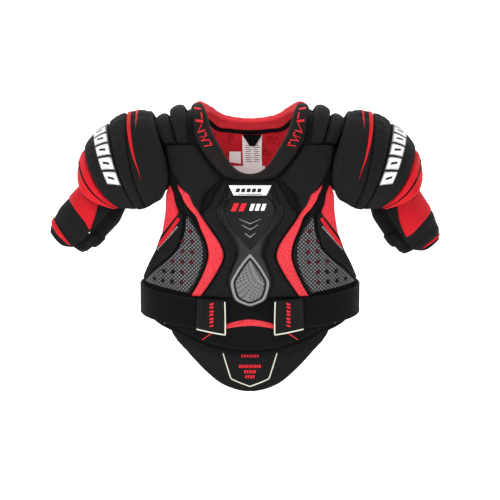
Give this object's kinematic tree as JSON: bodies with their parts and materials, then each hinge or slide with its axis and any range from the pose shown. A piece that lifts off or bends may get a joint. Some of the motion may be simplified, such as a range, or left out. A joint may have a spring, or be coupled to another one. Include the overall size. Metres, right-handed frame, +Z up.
{
  "type": "ice hockey shoulder pads",
  "caption": "Padded torso vest with floating shoulder caps, hinged upper-arm guards, a moulded breastbone guard, elastic side straps with hook tabs and a slide-out belly pad.",
  "frame": {"origin": "on the wearer's midline inside the base of the neck, level with the seat of the shoulders", "axes": "+X towards the wearer's left side, +Y towards the wearer's back, +Z up; the chest faces -Y"},
  "size_m": [0.6624, 0.261, 0.4685],
  "materials": {
    "liner_nylon": "matt woven nylon over foam",
    "neoprene": "matt black knitted cover over foam",
    "red_fabric": "red coated knit",
    "red_lining": "brushed red lining",
    "side_mesh": "grey coated mesh with rows of holes",
    "guard_plastic": "satin moulded plastic",
    "grey_plastic": "speckled moulded plastic",
    "badge": "glossy white",
    "elastic": "ribbed elastic webbing",
    "webbing": "smooth black tab with pale edging",
    "label": "white printed satin",
    "cap_cover": "matt woven cover over moulded foam",
    "cap_plastic": "matt inner plastic shell"
  },
  "bodies": {
    "vest": {"front_liner": "liner_nylon", "back_liner": "liner_nylon", "front_collar": "neoprene", "back_collar": "red_lining", "centre_pad": "neoprene", "hem_arc": "red_fabric", "sternum_plate": "guard_plastic", "sternum_shield": "guard_plastic", "sternum_badge": "badge", "sternum_frame": "grey_plastic", "sternum_insert": "grey_plastic", "lower_back_pad": "neoprene", "spine_plate": "guard_plastic", "left_chest_pad": "neoprene", "left_chest_accent": "red_fabric", "left_side_mesh": "side_mesh", "left_side_wing": "liner_nylon", "left_red_gusset": "red_fabric", "left_blade_pad": "neoprene", "left_side_strap": "elastic", "right_chest_pad": "neoprene", "right_chest_accent": "red_fabric", "right_side_mesh": "side_mesh", "right_side_wing": "liner_nylon", "right_red_gusset": "red_fabric", "right_blade_pad": "neoprene", "right_side_strap": "elastic"},
    "left_cap": {"left_cap_panel": "cap_cover", "left_cap_band": "cap_cover", "left_cap_shell": "cap_cover", "left_cap_rim": "red_fabric", "left_cap_liner": "cap_plastic"},
    "left_float_outer": {"left_outer_float": "neoprene"},
    "left_float_inner": {"left_inner_float": "neoprene"},
    "left_arm_link": {"left_arm_hanger": "elastic"},
    "left_arm": {"left_arm_guard": "cap_cover", "left_arm_panel": "red_fabric", "left_arm_stripe": "red_fabric", "left_arm_sleeve": "elastic", "left_arm_strap": "elastic"},
    "left_arm_tab": {"left_arm_strap_tab": "webbing"},
    "left_belly_tab": {"left_strap_tab": "webbing"},
    "right_cap": {"right_cap_panel": "cap_cover", "right_cap_band": "cap_cover", "right_cap_shell": "cap_cover", "right_cap_rim": "red_fabric", "right_cap_liner": "cap_plastic"},
    "right_float_outer": {"right_outer_float": "neoprene"},
    "right_float_inner": {"right_inner_float": "neoprene"},
    "right_arm_link": {"right_arm_hanger": "elastic"},
    "right_arm": {"right_arm_guard": "cap_cover", "right_arm_panel": "red_fabric", "right_arm_stripe": "red_fabric", "right_arm_sleeve": "elastic", "right_arm_strap": "elastic"},
    "right_arm_tab": {"right_arm_strap_tab": "webbing"},
    "right_belly_tab": {"right_strap_tab": "webbing"},
    "belly_pad": {"belly_pad": "cap_cover"},
    "label": {"care_label": "label"},
    "loop": {"hang_loop": "elastic"}
  },
  "joints": [
    {"name": "shoulder_lift_left", "type": "hinge", "parent": "vest", "child": "left_cap", "pos_m": [0.121, 0, 0.047], "axis": [0, -1, 0], "range_deg": [0, 40]},
    {"name": "outer_float_left", "type": "hinge", "parent": "vest", "child": "left_float_outer", "pos_m": [0.119, 0, 0.044], "axis": [0, -1, 0], "range_deg": [0, 20]},
    {"name": "inner_float_left", "type": "hinge", "parent": "vest", "child": "left_float_inner", "pos_m": [0.1, 0, 0.046], "axis": [0, -1, 0], "range_deg": [0, 8]},
    {"name": "arm_spread_left", "type": "hinge", "parent": "left_cap", "child": "left_arm_link", "pos_m": [0.247, 0, -0.038], "axis": [0, -1, 0], "range_deg": [-15, 6]},
    {"name": "arm_swing_left", "type": "hinge", "parent": "left_arm_link", "child": "left_arm", "pos_m": [0.26, 0, -0.058], "axis": [1, 0, 0], "range_deg": [-16, 16]},
    {"name": "arm_tab_peel_left", "type": "hinge", "parent": "left_arm", "child": "left_arm_tab", "pos_m": [0.2458, 0.04786, -0.16814], "axis": [-0.6072, 0.1463, 0.781], "range_deg": [0, 80]},
    {"name": "tab_peel_left", "type": "hinge", "parent": "vest", "child": "left_belly_tab", "pos_m": [0.0885, -0.119, -0.29], "axis": [0, 0, 1], "range_deg": [0, 100]},
    {"name": "shoulder_lift_right", "type": "hinge", "parent": "vest", "child": "right_cap", "pos_m": [-0.121, 0, 0.047], "axis": [0, 1, 0], "range_deg": [0, 40]},
    {"name": "outer_float_right", "type": "hinge", "parent": "vest", "child": "right_float_outer", "pos_m": [-0.119, 0, 0.044], "axis": [0, 1, 0], "range_deg": [0, 20]},
    {"name": "inner_float_right", "type": "hinge", "parent": "vest", "child": "right_float_inner", "pos_m": [-0.1, 0, 0.046], "axis": [0, 1, 0], "range_deg": [0, 8]},
    {"name": "arm_spread_right", "type": "hinge", "parent": "right_cap", "child": "right_arm_link", "pos_m": [-0.247, 0, -0.038], "axis": [0, 1, 0], "range_deg": [-17, 2]},
    {"name": "arm_swing_right", "type": "hinge", "parent": "right_arm_link", "child": "right_arm", "pos_m": [-0.26, 0, -0.058], "axis": [1, 0, 0], "range_deg": [-16, 16]},
    {"name": "arm_tab_peel_right", "type": "hinge", "parent": "right_arm", "child": "right_arm_tab", "pos_m": [-0.26302, 0.04786, -0.16877], "axis": [-0.7336, -0.1463, -0.6637], "range_deg": [0, 80]},
    {"name": "tab_peel_right", "type": "hinge", "parent": "vest", "child": "right_belly_tab", "pos_m": [-0.0885, -0.119, -0.29], "axis": [0, 0, -1], "range_deg": [0, 100]},
    {"name": "belly_pad_slide", "type": "slide", "parent": "vest", "child": "belly_pad", "axis": [0, 0, -1], "range_m": [0, 0.09]},
    {"name": "label_flip", "type": "hinge", "parent": "vest", "child": "label", "pos_m": [0.004, 0.0905, -0.011], "axis": [-1, 0, 0], "range_deg": [0, 60]},
    {"name": "loop_flip", "type": "hinge", "parent": "label", "child": "loop", "pos_m": [0.004, 0.0875, -0.011], "axis": [-1, 0, 0], "range_deg": [0, 60]}
  ],
  "couplings": [
    {"joint": "outer_float_left", "follows": "shoulder_lift_left", "ratio": 0.5},
    {"joint": "inner_float_left", "follows": "shoulder_lift_left", "ratio": 0.2},
    {"joint": "outer_float_right", "follows": "shoulder_lift_right", "ratio": 0.5},
    {"joint": "inner_float_right", "follows": "shoulder_lift_right", "ratio": 0.2}
  ]
}
